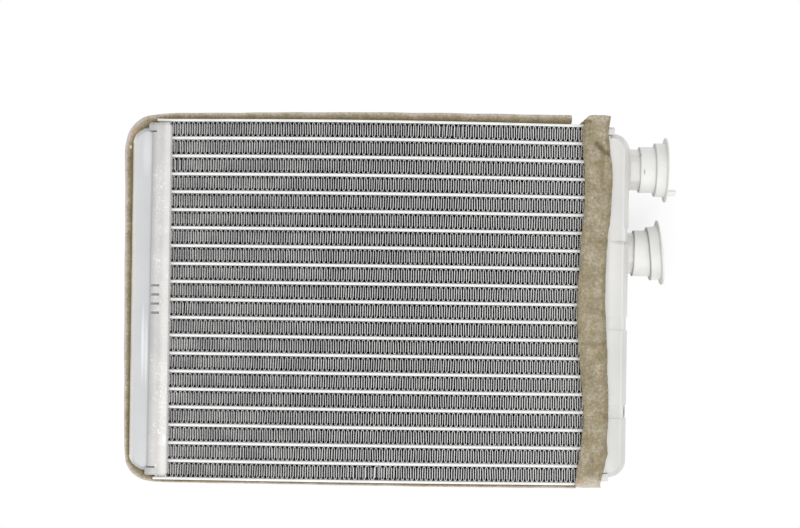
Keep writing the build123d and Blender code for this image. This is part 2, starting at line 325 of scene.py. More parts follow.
def flux_field(material, centre, half, strength):
    """A place where dried flux lies in dense flecks."""
    rim = 1.2

    def flecks(tree, axes):
        fleck = add_node(
            tree, "TexNoise", Vector=axes["all"], Scale=1000.0, Detail=3.0, Roughness=0.7
        )
        broken = remap(tree, fleck.outputs["Fac"], 0.52, 0.64, 0.0, strength)
        return calculate(tree, "MULTIPLY", patch(tree, axes, centre, half, rim), broken)

    tint(material, flecks, (252, 251, 248))


def stored_number(tree, name):
    """The number of that name stored on the mesh."""
    return add_node(tree, "Attribute", attribute_name=name).outputs["Fac"]


# %% Tints of the left tank and the left tray
pan_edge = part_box("tank_left")[0].x
flange_reach = 8.2 * mm
flange_set_in = 0.4 * mm
flange_slant = 0.004
flange_edge = tray_high.x - flange_reach + flange_set_in


def past_flange_edge(tree, axes):
    """How far a place is to the right of the slanted free edge of the flange."""
    slanted = calculate(tree, "MULTIPLY", axes["Y"], flange_slant)
    return calculate(tree, "SUBTRACT", calculate(tree, "SUBTRACT", axes["X"], slanted), flange_edge)


def pan_rim_highlight(tree, axes):
    """The outer rim of the pan, lightened as a painted highlight."""
    return remap(tree, axes["X"], pan_edge + 1.0 * mm, pan_edge + 2.6 * mm, 1, 0)


def beside_edge(start, stop, first, last):
    """A mask that goes evenly from one strength to another along the free edge of the flange."""
    def mask(tree, axes):
        return remap(tree, past_flange_edge(tree, axes), start * mm, stop * mm, first, last)

    return mask


# a painted highlight on the outer rim of the pan, whose bevel catches the light
tint(left_tank_finish, pan_rim_highlight, (250, 249, 243))
# painted highlights on the pan: the middle and the half size in millimetres, strength and colour
for centre, half, strength, colour in (
    ((-111.0, -21.0), (0.9, 19.0), 0.8, (242, 242, 246)),
    ((-109.5, -24.0), (0.8, 17.0), 0.7, (242, 242, 246)),
    ((-110.1, 62.0), (2.4, 11.0), 0.45, (242, 242, 244)),
):
    mark(left_tank_finish, centre, half, strength, colour)
# painted shade on both sides of the free edge, and a painted highlight on the side of the flange by
# the
# matrix: from where to where, in millimetres past the edge, the strengths there and the colour
for finish, start, stop, first, last, colour in (
    (left_tank_finish, -1.1, -0.2, 0.0, 0.5, (150, 150, 150)),
    (header_finish, 0.0, 2.2, 0.6, 0.0, (165, 165, 165)),
    (header_finish, 4.2, 6.0, 0.0, 0.45, (252, 251, 248)),
):
    tint(finish, beside_edge(start, stop, first, last), colour)
# places of dense flux on the tray, in the same way
for centre, half, strength in (
    ((-101.6, -46.6), (1.4, 18.0), 0.9),
    ((-104.3, -58.0), (1.2, 2.0), 0.9),
    ((-104.8, 41.3), (0.7, 16.0), 0.5),
    ((-102.6, -2.0), (0.8, 3.4), 0.5),
):
    flux_field(header_finish, centre, half, strength)
mark(header_finish, (-101.0, -62.6), (0.8, 2.4), 1.0, (255, 255, 253))
print("free edge of the flange at x mm:", round(flange_edge / mm, 2))

# %% Tints of the right tank, the connectors and the fins
tank_side = right_tray_low.x + 15.9 * mm


def painted_roll_shade(tree, axes):
    """The front of the tank up to the shoulder, where the sheet begins to roll over; it is darkened
    there as painted shade.
    """
    rise = remap(tree, axes["X"], tank_side - 6.0 * mm, tank_side - 2.2 * mm, 0.0, 0.3)
    fall = remap(tree, axes["X"], tank_side - 2.2 * mm, tank_side - 1.2 * mm, 1.0, 0.0)
    return calculate(tree, "MULTIPLY", rise, fall)


# painted shade where the front of the right tank rolls over to its side
tint(right_tank_finish, painted_roll_shade, (200, 201, 199))
# painted shade: a dark line where the lowest groove meets the tank's side, and a soft grey along
# the upper groove
mark(right_tank_finish, (98.6, -47.8), (0.5, 3.6), 1.0, (120, 120, 120))
mark(right_tank_finish, (96.6, 25.7), (5.0, 1.1), 0.4, (175, 176, 176))
mark(connector_finish, (106.4, 56.9), (0.5, 1.7), 0.7, (150, 150, 150))
mark(connector_finish, (105.0, 64.3), (0.4, 0.9), 0.6, (150, 150, 150))
# painted shade lines along the steps of the connectors, from the number stored on their steps
tint(connector_finish, lambda tree, axes: stored_number(tree, "line"), (150, 151, 150))


def towards_right(tree, axes):
    """The right part of the rows, which the light reaches better."""
    return remap(tree, axes["X"], core_x - 70 * mm, core_x + 80 * mm, 0.0, 0.6)


tint(fin_finish, towards_right, (255, 255, 255))
print("side of the right tank at x mm:", round(tank_side / mm, 2))

# %% [markdown]
# Foam is a mat of open cells. Its colour wanders from brown to grey, tiny pale skins of cut cells
# catch the light, and the cells themselves are a fine relief. A number that is stored on the
# mesh says how pale each spot is. It is mostly painted light and shade: paler on the lit outer
# side, darker in the creases and on the sides.

# %% Foam finish
def foam_finish(name, dark, middle, pale, speck, stain):
    """Open-cell foam: three tones led by the stored number of painted light and shade, mottling,
    stains and pale specks.
    """
    material, tree, shader = new_material(name)
    place = add_node(tree, "TexCoord").outputs["Object"]
    mottle = add_node(tree, "TexNoise", Vector=place, Scale=130.0, Detail=5.0, Roughness=0.7)
    fibre = add_node(tree, "TexNoise", Vector=place, Scale=850.0, Detail=4.0, Roughness=0.8)
    blots = add_node(tree, "TexNoise", Vector=place, Scale=210.0, Detail=4.0, Roughness=0.75)
    cells = add_node(tree, "TexVoronoi", Vector=place, Scale=1500.0)
    wander = remap(tree, mottle.outputs["Fac"], 0.3, 0.7, -0.22, 0.22)
    grit = remap(tree, fibre.outputs["Fac"], 0.3, 0.7, -0.3, 0.3)
    # the stored painted light and shade, with the mottling and the grit of the foam on it
    light_and_tone = calculate(tree, "ADD", calculate(tree, "ADD", stored_number(tree, "light_and_tone"), wander), grit)
    stained = blend_colours(tree, remap(tree, blots.outputs["Fac"], 0.42, 0.6), middle, stain)
    # the dark tone is painted shade and the pale tone mostly painted light
    lower = blend_colours(tree, remap(tree, light_and_tone, 0.0, 0.5), dark, stained)
    whole = blend_colours(tree, remap(tree, light_and_tone, 0.5, 1.0), lower, pale)
    skins = remap(tree, cells.outputs["Distance"], 0.32, 0.2)
    chosen = remap(tree, cells.outputs["Color"], 0.9, 0.98, 0.0, 0.8)
    colour = blend_colours(tree, calculate(tree, "MULTIPLY", skins, chosen), whole, speck)
    relief = calculate(tree, "ADD", cells.outputs["Distance"], fibre.outputs["Fac"])
    bump = add_node(tree, "Bump", Height=relief, Strength=0.5, Distance=0.3 * mm)
    set_up(tree, shader, Base_Color=colour, Roughness=0.95, Specular_IOR_Level=0.1)
    set_up(tree, shader, Normal=bump.outputs["Normal"])
    return material


# tones: dark for painted shade, the foam's own middle, pale mostly for painted light, the specks
# and the stains
band_finish = foam_finish(
    "foam_of_the_band", (124, 114, 90), (168, 158, 135), (212, 203, 188),
    (216, 206, 178), (163, 149, 118),
)
strip_finish = foam_finish(
    "foam_of_the_strip", (118, 107, 82), (164, 152, 129), (206, 196, 189),
    (228, 218, 190), (158, 143, 112),
)
# stains: the finish, the middle and the half size in millimetres, the strength and the colour
for finish, centre, half, strength, colour in (
    (band_finish, (79.7, 77.6), (1.4, 0.9), 0.5, (140, 95, 60)),
    (band_finish, (79.4, -78.2), (2.2, 1.1), 0.35, (206, 150, 100)),
    (strip_finish, (-115.5, 71.4), (2.2, 3.0), 0.4, (206, 160, 144)),
    (strip_finish, (-117.6, 64.4), (0.6, 1.0), 0.9, (244, 224, 170)),
    (strip_finish, (-112.0, -73.4), (2.2, 1.6), 0.5, (232, 222, 212)),
):
    mark(finish, centre, half, strength, colour)
print("finishes:", len(bpy.data.materials))

# %% [markdown]
# ## A stack that bulges
# Brazing never leaves a stack quite straight. In the middle of its length the top of this one
# stands about three quarters of a millimetre high, and the bottom a quarter low. One function
# gives that bulge, and everything in the stack is moved by it, so that the parts stay together.

# %% The bulge of the stack
top_bulge = 0.76 * mm
bottom_bulge = 0.25 * mm


def bulge(x, y):
    """How far the stack stands up, or down below its middle, at that place."""
    along = min(max((x - matrix_left) / (matrix_right - matrix_left), 0.0), 1.0)
    share = (y - core_y) / stack_half
    swell = top_bulge if share > 0 else bottom_bulge
    return swell * share * math.sin(math.pi * along)


print("bulge at the top mm:", round(bulge(core_x, core_y + stack_half) / mm, 2))

# %% [markdown]
# ## Tubes
# The coolant runs through flat tubes, whose rounded noses show as bright bars from the front. A
# copy of each CAD tube is cut across at even steps, so that it can follow the bulge of the stack.

# %% Tubes
bend_places = evenly(matrix_left, matrix_right, 25)
for name in tube_names:
    edit = merged_copy(name)
    cut_across(edit, along_x, bend_places)
    for vert in edit.verts:
        vert.co.y += bulge(vert.co.x, vert.co.y)
    hand_over(put_in_scene("flat_" + name, edit), tube_finish, name)
print("tubes:", len(tube_names))

# %% [markdown]
# ## Fin strips
# A fin strip is thin sheet folded back and forth between two tubes. Each leg is cut into slats
# that are turned a little, like a blind, to stir the air. Seen from the front, the slats fill the
# gaps with grey, and the round folds leave small dark corners against the tubes. One fold with
# its leg is modelled once and turned over for its neighbour, and the pair is repeated, because
# the strip comes from toothed rollers that make every fold alike.

# %% Sizes of the fin strips
wave_count = 87
wave_pitch = (matrix_right - row_left) / wave_count
strip_depth = front_z - back_z
sheet = 0.2 * mm
slat_sheet = 0.12 * mm
fold_steps = 4
fold_skirt = 0.45 * mm
margin_depth = 1.0 * mm
slat_depth = 1.3 * mm
slat_pitch = 1.25 * mm
slat_turn = math.radians(17)
slats_per_bank = 3
front_edge = 0.24 * mm
half_height = (row_height - sheet) / 2
fold_radius = wave_pitch / 4
leg_x = -wave_pitch / 4
print("pitch of the waves mm:", round(wave_pitch / mm, 2))

# %% Helper for the thin plates of a leg
def thin_plate(edit, centre, size, turn=0.0):
    """Adds a thin plate of that size, turned like a slat about its own middle."""
    made = bmesh.ops.create_cube(edit, size=1.0)["verts"]
    bmesh.ops.scale(edit, verts=made, vec=size)
    slant = Matrix.Rotation(turn, 3, "Y")
    bmesh.ops.rotate(edit, verts=made, cent=(0, 0, 0), matrix=slant)
    bmesh.ops.translate(edit, verts=made, vec=centre)


def verts_of(made):
    """The vertices in what an operator made."""
    return [item for item in made if isinstance(item, bmesh.types.BMVert)]


# %% One fold: a line spun round, run down to its skirts, and given depth and thickness
wave = bmesh.new()
fold_centre = (0, half_height - fold_radius, 0)
first = wave.verts.new((fold_radius, half_height - fold_radius, 0))
bmesh.ops.spin(
    wave, geom=[first], cent=fold_centre, axis=(0, 0, 1), angle=math.pi, steps=fold_steps
)
for end in [vert for vert in wave.verts if len(vert.link_edges) == 1]:
    skirt = bmesh.ops.extrude_vert_indiv(wave, verts=[end])["verts"]
    bmesh.ops.translate(wave, verts=skirt, vec=(0, -fold_skirt, 0))
run = bmesh.ops.extrude_edge_only(wave, edges=wave.edges[:])["geom"]
bmesh.ops.translate(wave, verts=verts_of(run), vec=(0, 0, -strip_depth))
bmesh.ops.recalc_face_normals(wave, faces=wave.faces)
bmesh.ops.solidify(wave, geom=wave.faces[:], thickness=sheet)
print("faces in a fold:", len(wave.faces))

# %% The leg beside the fold: two margins, two banks of slats and a plain middle
leg_length = 2 * (half_height - fold_radius - fold_skirt)
for margin_z in (-margin_depth / 2, margin_depth / 2 - strip_depth):
    thin_plate(wave, (leg_x, 0, margin_z), (front_edge, leg_length, margin_depth))
for index in range(slats_per_bank):
    from_edge = margin_depth + slat_pitch * (index + 0.5)
    slat_size = (slat_sheet, leg_length, slat_depth)
    thin_plate(wave, (leg_x, 0, -from_edge), slat_size, slat_turn)
    thin_plate(wave, (leg_x, 0, from_edge - strip_depth), slat_size, -slat_turn)
middle_depth = strip_depth - 2 * (margin_depth + slats_per_bank * slat_pitch)
thin_plate(wave, (leg_x, 0, -strip_depth / 2), (sheet, leg_length, middle_depth))

# %% The other half of the wave is the same, turned over
everything = wave.verts[:] + wave.edges[:] + wave.faces[:]
other_half = verts_of(bmesh.ops.duplicate(wave, geom=everything)["geom"])
bmesh.ops.scale(wave, verts=other_half, vec=(1, -1, 1))
bmesh.ops.translate(wave, verts=other_half, vec=(wave_pitch / 2, 0, 0))
bmesh.ops.recalc_face_normals(wave, faces=wave.faces)
wave_mesh = bpy.data.meshes.new("wave")
wave.to_mesh(wave_mesh)
wave.free()
print("faces in one wave:", len(wave_mesh.polygons))

# %% Lay the waves along a row
row = bmesh.new()
for index in range(wave_count):
    start = len(row.verts)
    row.from_mesh(wave_mesh)
    row.verts.ensure_lookup_table()
    step = (row_left + front_edge / 2 + wave_pitch * (index + 0.25), 0, front_z)
    bmesh.ops.translate(row, verts=row.verts[start:], vec=step)
row_mesh = bpy.data.meshes.new("row")
row.to_mesh(row_mesh)
row.free()
bpy.data.meshes.remove(wave_mesh)
print("triangles in one row:", sum(len(face.vertices) - 2 for face in row_mesh.polygons))

# %% [markdown]
# ## Uneven rows
# A real strip is never perfectly even: its pitch drifts, single legs lean, and here and there a
# knock has mashed the front edges together. Smooth noise with fixed places does the drift and the
# lean, so the result is the same every time, and a short list gives the mashed spots.

# %% Knocks and drift
# row, middle and half width along the row, and how far the front edges are pushed
knocks = [
    (0, core_x + 31 * mm, 7 * mm, 0.55 * mm),
    (1, core_x - 88 * mm, 3 * mm, 0.40 * mm),
    (2, core_x - 88 * mm, 3 * mm, 0.45 * mm),
    (19, core_x - 3 * mm, 12 * mm, 0.60 * mm),
    (18, core_x - 60 * mm, 3 * mm, 0.35 * mm),
    (10, core_x - 84 * mm, 2 * mm, 0.40 * mm),
]
knock_depth = 2.5 * mm
# how far folds and legs drift together, and single ones by themselves
drift, single_lean = 0.24 * mm, 0.13 * mm
# how quickly the drift, the lean and the ruffles of a knock change along a row
drift_change, lean_change, ruffle_change = 170, 640, 700


def lean(x, y, row_index):
    """Sideways drift of the folds and legs at a place in a row."""
    share = min(max(y / half_height, -1.0), 1.0)
    upper = noise.noise((x * drift_change, row_index * 7.3, 1.7))
    lower = noise.noise((x * drift_change, row_index * 7.3, 9.4))
    single = noise.noise((x * lean_change, y * 130, row_index * 3.1))
    slow = upper * (1 + share) / 2 + lower * (1 - share) / 2
    return drift * slow + single_lean * single


def knock(x, z, row_index):
    """Sideways push on the front edges inside the mashed spots."""
    push = 0.0
    for where, middle, half_width, strength in knocks:
        near = 1 - abs(x - middle) / half_width
        depth = 1 - (front_z - z) / knock_depth
        if where == row_index and near > 0 and depth > 0:
            ruffle = noise.noise((x * ruffle_change, row_index * 5.1, 3.3))
            push += 2 * strength * near ** 0.5 * depth * ruffle
    return push


# %% Fin strips, one for each row
for index, name in enumerate(fin_names):
    low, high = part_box(name)
    row_y = (low.y + high.y) / 2
    edit = bmesh.new()
    edit.from_mesh(row_mesh)
    for vert in edit.verts:
        x, y, z = vert.co
        moved = x + lean(x, y, index) + knock(x, z, index)
        vert.co.x = min(max(moved, row_left), matrix_right)
        vert.co.y = row_y + y + bulge(x, row_y)
    hand_over(put_in_scene("fin_strip_" + name[-2:], edit), fin_finish, name)
bpy.data.meshes.remove(row_mesh)
print("fin strips:", len(fin_names))

# %% [markdown]
# ## Pressed and drawn sheet parts
# The CAD solids have the right forms, but with knife edges. Bent sheet and turned lips have a
# small radius that catches the light. A Bevel modifier on a merged copy of each solid breaks its
# edges, and places with a wider radius, such as the corners of lugs, are rounded before that.

# %% Round the edges of the sheet parts
def finish_piece(edit, name, finish, width, node):
    """Puts an edit in the scene with its edges rounded, to stand for a CAD node."""
    piece = put_in_scene(name, edit, smooth=True)
    rounding = piece.modifiers.new("rounding", "BEVEL")
    rounding.width = width
    rounding.segments = 2
    rounding.limit_method = "ANGLE"
    rounding.angle_limit = math.radians(30)
    rounding.harden_normals = True
    return hand_over(piece, finish, node)


def bend_edges(edit, chosen, radius, steps=3):
    """Rounds the chosen edges with a wider radius and returns how many they are."""
    edges = [edge for edge in edit.edges if chosen(edge)]
    bmesh.ops.bevel(
        edit, geom=edges, offset=radius, affect="EDGES", segments=steps, profile=0.5,
        material=-1, clamp_overlap=True,
    )
    return len(edges)


# %% Side plates
for node in ("side_plate_top", "side_plate_bottom"):
    edit = merged_copy(node)
    cut_across(edit, along_x, bend_places)
    for vert in edit.verts:
        edge_of_stack = core_y + math.copysign(stack_half, vert.co.y - core_y)
        vert.co.y += bulge(vert.co.x, edge_of_stack)
    finish_piece(edit, "brazed_" + node, plate_finish, width=0.25 * mm, node=node)
print("side plates run to x mm:", round(plate_left / mm, 2))

# %% [markdown]
# ## Header trays
# A header tray is pressed from sheet. It has a slotted web that the tubes pass through, a flange
# along the front and the back, and lugs at its ends, which slits set free so that they can be bent
# over the tank. The photograph differs a little from the CAD solid: the staking slits stand wider,
# braze thickens the web, and the lugs have their own lengths. The corners of the copy that lie at
# such a place are moved before the edges are rounded, and nothing else changes.

# %% Sizes of the corrections to the trays
front_sheet = 1.6 * mm
tray_corner = 2.05 * mm
corner_squeeze = 0.75
bend_start = tray_high.x - 0.8 * mm
bend_growth = 0.4 * mm
stake_end = tray_high.x - 4.0 * mm
stake_middle = 0.8 * mm
stake_half = 5.0 * mm
stake_spread = 1.41
stake_drop = 2.35 * mm
slit_end = tray_high.x - 5.0 * mm
slit_growth = 1.0 * mm
lug_trim = 0.8 * mm
lug_lift = 1.0 * mm
lug_corner = 1.0 * mm
top_growth = 0.3 * mm
upper_slit_from = core_y + stack_half - 8 * mm
upper_lug_from = core_y + stack_half - 6 * mm

# %% Left tray
edit = merged_copy("header_left")
for vert in edit.verts:
    x, y, z = vert.co
    in_front = z > tray_high.z - front_sheet
    if in_front and x < stake_end + play and abs(y - stake_middle) < stake_half:
        vert.co.y = stake_middle + stake_spread * (y - stake_middle) - stake_drop
    at_end = min(tray_high.y - y, y - tray_low.y) < tray_corner
    if at_end and x > tray_high.x - tray_corner:
        vert.co.x = tray_high.x + web_growth - corner_squeeze * (tray_high.x - x)
    elif z > tray_high.z - play and abs(x - bend_start) < play:
        vert.co.x += web_growth + bend_growth
    elif x > tray_high.x - play:
        vert.co.x += web_growth
    if abs(x - (tray_high.x - flange_reach)) < play:
        vert.co.x += flange_set_in + flange_slant * y
    elif abs(x - slit_end) < play and y > upper_slit_from:
        vert.co.x -= slit_growth
    elif x < tray_low.x + play:
        vert.co.x += lug_trim
    if y > tray_high.y - play:
        vert.co.y += top_growth


def at_lug_corner(edge):
    """Whether an edge is one of the outer corners of the left tray's lugs."""
    first, second = (vert.co for vert in edge.verts)
    upright = abs(first.x - second.x) < 1e-6 and abs(first.y - second.y) < 1e-6
    return upright and max(first.x, second.x) < tray_low.x + lug_trim + 0.2 * mm


print("rounded lug corners:", bend_edges(edit, at_lug_corner, lug_corner))
finish_piece(edit, "tray_left", header_finish, width=0.2 * mm, node="header_left")

# %% Right tray, whose upper lugs stand higher and whose lower lugs are shorter
edit = merged_copy("header_right")
for vert in edit.verts:
    if vert.co.y > upper_lug_from:
        vert.co.y += lug_lift
    elif vert.co.y < core_y and vert.co.x > right_tray_high.x - play:
        vert.co.x -= lug_trim
print("faces of the right tray:", len(edit.faces))
finish_piece(edit, "tray_right", header_finish, width=0.2 * mm, node="header_right")

# %% [markdown]
# ## Braze beads
# Where the side plates meet the left tray, the filler has run into the gap and stands there as an
# uneven ridge. Each bead is a thin block cut across at even steps, whose front is lowered by
# noise: a sculpted ridge would look no better at this size.

# %% Braze beads between the left tray and the side plates
bead_back, bead_front = front_z - 9 * mm, front_z - 1 * mm
bead_left = plate_left + 0.4 * mm
bead_right = matrix_left - 0.2 * mm
bead_overlap = 0.1 * mm
bead_wear = 0.9 * mm
for place, plate_face, tray_face in (
    ("top", core_y + stack_half, tray_high.y), ("bottom", core_y - stack_half, tray_low.y),
):
    bead = bmesh.new()
    made = bmesh.ops.create_cube(bead, size=1.0)["verts"]
    rise = abs(plate_face - tray_face) + bead_overlap
    bmesh.ops.scale(bead, verts=made, vec=(bead_right - bead_left, rise, bead_front - bead_back))
    middle = (
        (bead_left + bead_right) / 2, (plate_face + tray_face) / 2, (bead_back + bead_front) / 2,
    )
    bmesh.ops.translate(bead, verts=made, vec=middle)
    cut_across(bead, along_x, evenly(bead_left, bead_right, 9)[1:-1])
    for vert in bead.verts:
        if vert.co.z > middle[2]:
            vert.co.z -= bead_wear * (0.5 + noise.noise(vert.co * 900))
    piece = put_in_scene("braze_bead_" + place, bead, smooth=True)
    piece.data.materials.append(plate_finish)
    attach(piece, "root")
print("length of a bead mm:", round((bead_right - bead_left) / mm, 1))

# %% [markdown]
# ## Tanks and connectors
# Both tanks are drawn pans. The left one is plain, and the right one has pressed grooves and two
# collars for the connectors. The baffle inside the right tank can't be seen, so it keeps its own
# mesh and only gets the finish of the tank.

# %% Tanks
pan_low, pan_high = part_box("tank_left")
pan_set_in = 0.3 * mm
edit = merged_copy("tank_left")
for vert in edit.verts:
    if vert.co.x < pan_low.x + play:
        vert.co.x += pan_set_in
finish_piece(edit, "pan_left", left_tank_finish, width=0.3 * mm, node="tank_left")

edit = merged_copy("tank_right")
print("faces of the right tank:", len(edit.faces))
finish_piece(edit, "pan_right", right_tank_finish, width=0.25 * mm, node="tank_right")
nodes["baffle"].data.materials.clear()
nodes["baffle"].data.materials.append(right_tank_finish)

# %% [markdown]
# Each connector is a sleeve, a wider bell and a lip. Every step gets a painted shade line, which
# stands for the shade that the step casts. The copy is cut on both sides of a step, the step itself
# stores the strength of its shade and the cuts a 0, so that the painted shade fades out over half a
# millimetre.

# %% Helper for the painted shade lines of the steps
line_reach = 0.5 * mm
socket_to_shoulder = 6.0 * mm
socket_to_lip = 1.4 * mm
# the upper half of a bent connector's steps leans towards the mouth: by how much, and at which
# sine of its bend
step_lean = 0.05
bent_share = 0.11


def paint_step_shade(edit, layer, axis, place, strength):
    """Stores a painted shade line of that strength on the step at a place along an axis."""
    cut_across(edit, axis, (place - line_reach, place + line_reach))
    for vert in edit.verts:
        if abs(vert.co.dot(axis) - place) < 0.1 * mm:
            vert[layer] = strength


# %% Connectors, with their steps settled a little towards the mouth as the real ones are
mounts = {mount["name"]: mount for mount in frame["record"]["mounts"]}
# each connector: its name, how far its steps settle, and how strong the painted shade on its steps
# is
for place, settled, strength in (("upper", 0.8 * mm, 0.5), ("lower", 0.4 * mm, 0.8)):
    node = "connector_" + place
    mount = mounts[place + "_socket"]
    axis = Vector(mount["axis"])
    mouth = Vector(mount["pos_m"]) + axis * mount["dims"]["length_mm"] / 2 * mm
    reach = mouth.dot(axis)
    edit = merged_copy(node)
    layer = edit.verts.layers.float.new("line")
    # painted shade lines at the shoulder, at the lip at half strength, and where the connector
    # meets the tank
    paint_step_shade(edit, layer, axis, reach - socket_to_shoulder, strength)
    paint_step_shade(edit, layer, axis, reach - socket_to_lip, strength / 2)
    paint_step_shade(edit, layer, along_x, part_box(node)[0].x, strength)
    for vert in edit.verts:
        if reach - vert.co.dot(axis) > socket_to_lip / 2:
            leaning = step_lean * max(vert.co.y - mouth.y, 0) * abs(axis.y) / bent_share
            vert.co.x += settled + leaning
    finish_piece(edit, "socket_" + place, connector_finish, width=0.3 * mm, node=node)
    print(node, "mouth at mm:", [round(part / mm, 1) for part in mouth])


# %% [markdown]
# ## Foam band
# A loop of foam is wrapped round the right header to seal it in its housing. Foam has no sharp
# edges and no flat faces. The CAD loop is remeshed into small even cells, smoothed to round it,
# and then pushed about by noise and by the creases that the wrapping left in it.

# %% Even, rounded mesh of the band
band_voxel = 0.55 * mm
smoothing_rounds = 5
band = put_in_scene("band_of_foam", merged_copy("foam_band"))
remesh = band.modifiers.new("remesh", "REMESH")
remesh.mode = "VOXEL"
remesh.voxel_size = band_voxel
graph = bpy.context.evaluated_depsgraph_get()
even_mesh = bpy.data.meshes.new_from_object(band.evaluated_get(graph))
band.modifiers.clear()
band_edit = bmesh.new()
band_edit.from_mesh(even_mesh)
for _ in range(smoothing_rounds):
    bmesh.ops.smooth_vert(
        band_edit, verts=band_edit.verts, factor=0.5,
        use_axis_x=True, use_axis_y=True, use_axis_z=True,
    )
bpy.data.meshes.remove(even_mesh)
print("faces in the band:", len(band_edit.faces))

# %% Creases and bumps of the band
def bumpiness(place, bumps):
    """The bumps of foam at a place: each has a height and how quickly it changes."""
    return sum(height * noise.noise(place * change) for height, change in bumps)


band_low, band_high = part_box("foam_band")
# each crease, in millimetres: its two ends on the front face, its half width and its depth
creases = [
    (Vector(start) * mm, Vector(end) * mm, half_width * mm, deepest * mm)
    for start, end, half_width, deepest in (
        ((84.6, 68.6), (87.2, 65.2), 0.9, 0.9),
        ((87.2, 65.2), (90.5, 63.4), 0.9, 1.0),
        ((87.0, 65.0), (86.5, 52.5), 0.8, 0.35),
        ((78.8, 78.6), (81.4, 77.9), 0.6, 0.8),
        ((79.5, -18.0), (88.5, -18.4), 0.9, 0.3),
        ((84.0, -66.0), (83.2, -75.0), 1.0, 0.3),
    )
]


def crease_depth(place):
    """How deep the creases are at a place on the front face."""
    depth = 0.0
    for start, end, half_width, deepest in creases:
        run = end - start
        share = min(max((place - start).dot(run) / run.length_squared, 0.0), 1.0)
        distance = (place - start - run * share).length
        depth = max(depth, deepest * math.exp(-((distance / half_width) ** 2)))
    return depth


# how far the wrapped edges stray, in millimetres: the place along y, the shift of the left edge
# and the shift of the right edge
stray = [
    (-78.8, -1.3, 0.4), (-72.7, -0.4, 1.1), (-65.8, 0.0, 1.7), (-60.6, -0.2, 0.9),
    (-53.7, -0.4, 0.7), (-43.3, -0.9, 0.7), (-36.4, -1.3, 1.1), (-19.1, -1.3, 1.2),
    (-8.8, -0.7, 0.9), (1.6, -0.5, 0.4), (15.4, -0.2, 0.0), (29.2, -0.3, 0.0),
    (43.0, -0.4, 0.7), (53.4, -0.9, 1.5), (67.2, -1.1, 1.1), (74.1, -0.4, 0.0),
    (76.9, 0.8, 0.0), (80.6, 0.0, 0.3),
]
# the band's own edges, millimetre by millimetre
edges_at = {}
for vert in band_edit.verts:
    level = round(vert.co.y / mm)
    low, high = edges_at.get(level, (vert.co.x, vert.co.x))
    edges_at[level] = (min(low, vert.co.x), max(high, vert.co.x))


def stray_at(place):
    """Sideways shift of the band at a place, drawn evenly from one edge to the other."""
    along = place.y / mm
    before = [entry for entry in stray if entry[0] <= along][-1:] or stray[:1]
    after = [entry for entry in stray if entry[0] > along][:1] or stray[-1:]
    (y0, left0, right0), (y1, left1, right1) = before[0], after[0]
    share = (along - y0) / (y1 - y0) if y1 > y0 else 0.0
    left = left0 + (left1 - left0) * share
    right = right0 + (right1 - right0) * share
    low, high = edges_at[round(along)]
    across = (place.x - low) / (high - low)
    return (left + (right - left) * across) * mm


band_bumps = [(0.4 * mm, 80), (0.2 * mm, 260), (0.07 * mm, 900)]
# the band is sunk a little, so that its bumps stay near the CAD faces
band_sink = 0.25 * mm
# the stored number of painted light and shade: its value on a plain place, the painted shade that a
# full crease and the sides take from it, and how much paler the two ends get, the top one as a
# painted highlight on its lit edge, and over how far
plain_tone, crease_shade, side_shade = 0.5, 0.45, 0.25
full_crease = 0.7 * mm
top_highlight, top_highlight_run = 0.3, 4 * mm
bottom_gain, bottom_run = 0.7, 6 * mm
band_edit.normal_update()
light_and_tone_layer = band_edit.verts.layers.float.new("light_and_tone")
for vert in band_edit.verts:
    place = vert.co
    facing = max(vert.normal.z, 0.0)
    depth = crease_depth(Vector((place.x, place.y))) * facing
    swell = bumpiness(place, band_bumps)
    # painted shade in the creases and on the sides, a painted highlight at the top end, and a paler
    # bottom end
    vert[light_and_tone_layer] = plain_tone - crease_shade * depth / full_crease
    vert[light_and_tone_layer] -= side_shade * (1 - abs(vert.normal.z))
    vert[light_and_tone_layer] += top_highlight * max(1 - (band_high.y - place.y) / top_highlight_run, 0)
    vert[light_and_tone_layer] += bottom_gain * max(1 - (place.y - band_low.y) / bottom_run, 0)
    shift = stray_at(place)
    vert.co += vert.normal * (swell - depth - band_sink)
    vert.co.x += shift
    vert.co.z = max(vert.co.z, band_low.z)
print("band's own width mm:", round((band_high.x - band_low.x) / mm, 1))
band_edit.to_mesh(band.data)
band_edit.free()
for face in band.data.polygons:
    face.use_smooth = True
hand_over(band, band_finish, "foam_band")

# %% [markdown]
# ## Foam strip
# A strip of foam runs from the right along the top, round the left tank and back along the
# bottom, where it is squashed almost flat. It is modelled as a ribbon: a short edge across the
# foam is extruded from station to station, the ribbon is run back to the floor, and a Subdivision
# Surface modifier rounds it. A curve with one profile would be quicker, but the strip changes its
# width all the way round.

# %% Stations of the strip, from the frame
foam_low, foam_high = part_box("foam_strip")
soft_edge = 0.7 * mm
strip_bumps = [(0.22 * mm, 110), (0.1 * mm, 420)]
strip_wear = 0.25 * mm
# how much of the painted light on its outer side the upper run keeps
upper_light_share = 0.85
pan_side = pan_low.x + pan_set_in + play
